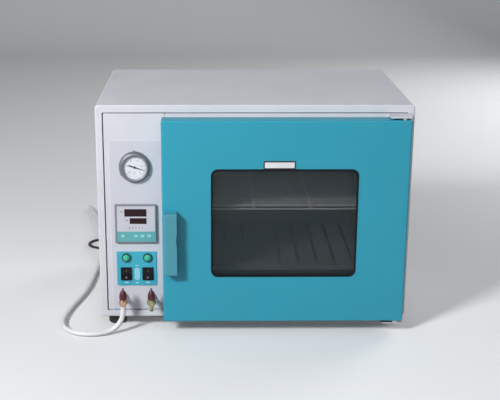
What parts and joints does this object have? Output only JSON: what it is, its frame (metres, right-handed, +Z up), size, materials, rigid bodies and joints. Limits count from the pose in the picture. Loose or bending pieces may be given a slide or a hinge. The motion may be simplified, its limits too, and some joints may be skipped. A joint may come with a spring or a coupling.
{
  "type": "vacuum oven",
  "caption": "Bench vacuum drying oven with a windowed side-hung door, a sealed heated chamber with two shelves, and a control column with gauge, controller, switches and two needle valves.",
  "frame": {"origin": "on the bench, under the middle of the cabinet with its closed door", "axes": "+X to the right seen from the front, +Y to the rear, +Z up; the door faces -Y"},
  "size_m": [0.8548, 1.0647, 0.535],
  "materials": {
    "cabinet_paint": "fine-textured pale grey-white powder coat",
    "panel_paint": "smooth satin white-grey powder coat",
    "door_paint": "satin teal powder coat",
    "handle_paint": "satin teal powder coat",
    "liner_paint": "white powder coat",
    "stainless": "brushed stainless sheet",
    "wire": "polished wire",
    "zinc": "zinc-plated steel",
    "silicone": "red-brown silicone rubber",
    "black_rubber": "matt black rubber",
    "buffer_silicone": "translucent silicone",
    "wool": "ceramic wool blanket",
    "mica": "mica heater plate",
    "brass": "turned brass",
    "copper": "copper tube",
    "knob_red": "dark red moulded plastic",
    "bezel_steel": "satin steel",
    "case_grey": "grey moulded plastic",
    "case_black": "black moulded plastic",
    "face_grey": "light grey printed film",
    "display_black": "near-black window",
    "key_blue": "pale blue keys",
    "dial_white": "white enamelled dial",
    "pointer_black": "black pointer",
    "plate_teal": "teal printed plate",
    "lamp_ring": "dark green ring",
    "lamp_green": "green lens",
    "rocker_black": "black rocker switch",
    "tinted_glass": "tinted glass",
    "clear_glass": "clear toughened glass",
    "gauge_glass": "clear gauge glass",
    "label_frame": "black frame",
    "label_white": "bare white card",
    "hose_white": "white rubber vacuum hose",
    "lead_black": "black mains lead"
  },
  "bodies": {
    "cabinet": {"outer_shell": "cabinet_paint", "base_pan": "zinc", "rear_panel": "cabinet_paint", "front_frame": "panel_paint", "control_panel": "panel_paint", "chamber": "stainless", "door_seal": "silicone", "insulation": "wool", "heater_plates": "mica", "chamber_legs": "zinc", "temperature_probe": "stainless", "shelf_rails": "stainless", "gauge_case": "bezel_steel", "gauge_bezel": "bezel_steel", "gauge_dial": "dial_white", "gauge_glass": "gauge_glass", "controller_case": "case_grey", "controller_face": "face_grey", "controller_displays": "display_black", "switch_plate": "plate_teal", "lamp_bezels": "lamp_ring", "lamp_lenses": "lamp_green", "rocker_frames": "rocker_black", "valve_body_left": "brass", "valve_body_right": "brass", "vacuum_pipe": "copper", "terminal_block": "case_black", "hinge_plate_top": "cabinet_paint", "hinge_plate_bottom": "zinc", "catch_magnet": "case_black", "feet": "black_rubber", "cabinet_screws": "zinc", "vacuum_hose": "hose_white", "mains_gland": "lead_black", "mains_lead": "lead_black", "mains_coil": "lead_black", "mains_plug": "lead_black"},
    "door": {"door_shell": "door_paint", "door_liner": "liner_paint", "hinge_bushes": "brass", "outer_glass": "tinted_glass", "window_trim": "black_rubber", "inner_glass": "clear_glass", "glass_clips": "stainless", "glass_buffers": "buffer_silicone", "catch_strike": "zinc", "handle": "handle_paint", "label_holder": "label_frame", "label_insert": "label_white"},
    "shelf_upper": {"shelf_upper": "wire"},
    "shelf_lower": {"shelf_lower": "stainless"},
    "gauge_pointer": {"gauge_pointer": "pointer_black"},
    "rocker_left": {"rocker_left": "rocker_black"},
    "rocker_right": {"rocker_right": "rocker_black"},
    "valve_knob_left": {"valve_knob_left": "knob_red"},
    "valve_knob_right": {"valve_knob_right": "knob_red"},
    "controller_key_1": {"controller_key_1": "key_blue"},
    "controller_key_2": {"controller_key_2": "key_blue"},
    "controller_key_3": {"controller_key_3": "key_blue"},
    "controller_key_4": {"controller_key_4": "key_blue"}
  },
  "joints": [
    {"name": "door_hinge", "type": "hinge", "parent": "cabinet", "child": "door", "pos_m": [0.332, -0.2395, 0.27], "axis": [0, 0, 1], "range_deg": [0, 115]},
    {"name": "shelf_upper_slide", "type": "slide", "parent": "cabinet", "child": "shelf_upper", "axis": [0, -1, 0], "range_m": [0, 0.012]},
    {"name": "shelf_lower_slide", "type": "slide", "parent": "cabinet", "child": "shelf_lower", "axis": [0, -1, 0], "range_m": [0, 0.012]},
    {"name": "gauge_pointer_turn", "type": "hinge", "parent": "cabinet", "child": "gauge_pointer", "pos_m": [-0.2732, -0.208, 0.392], "axis": [0, -1, 0], "range_deg": [-27.5, 242.5]},
    {"name": "rocker_left_tilt", "type": "hinge", "parent": "cabinet", "child": "rocker_left", "pos_m": [-0.298, -0.2042, 0.1342], "axis": [1, 0, 0], "range_deg": [0, 20]},
    {"name": "rocker_right_tilt", "type": "hinge", "parent": "cabinet", "child": "rocker_right", "pos_m": [-0.2475, -0.2042, 0.1342], "axis": [1, 0, 0], "range_deg": [0, 20]},
    {"name": "valve_left_turn", "type": "hinge", "parent": "cabinet", "child": "valve_knob_left", "pos_m": [-0.3045, -0.24, 0.095], "axis": [0, 0, 1], "range_deg": [0, 540]},
    {"name": "valve_right_turn", "type": "hinge", "parent": "cabinet", "child": "valve_knob_right", "pos_m": [-0.2385, -0.24, 0.095], "axis": [0, 0, 1], "range_deg": [0, 540]},
    {"name": "key_1_press", "type": "slide", "parent": "cabinet", "child": "controller_key_1", "axis": [0, 1, 0], "range_m": [0, 0.0008], "stiffness_N_per_m": 600},
    {"name": "key_2_press", "type": "slide", "parent": "cabinet", "child": "controller_key_2", "axis": [0, 1, 0], "range_m": [0, 0.0008], "stiffness_N_per_m": 600},
    {"name": "key_3_press", "type": "slide", "parent": "cabinet", "child": "controller_key_3", "axis": [0, 1, 0], "range_m": [0, 0.0008], "stiffness_N_per_m": 600},
    {"name": "key_4_press", "type": "slide", "parent": "cabinet", "child": "controller_key_4", "axis": [0, 1, 0], "range_m": [0, 0.0008], "stiffness_N_per_m": 600}
  ]
}
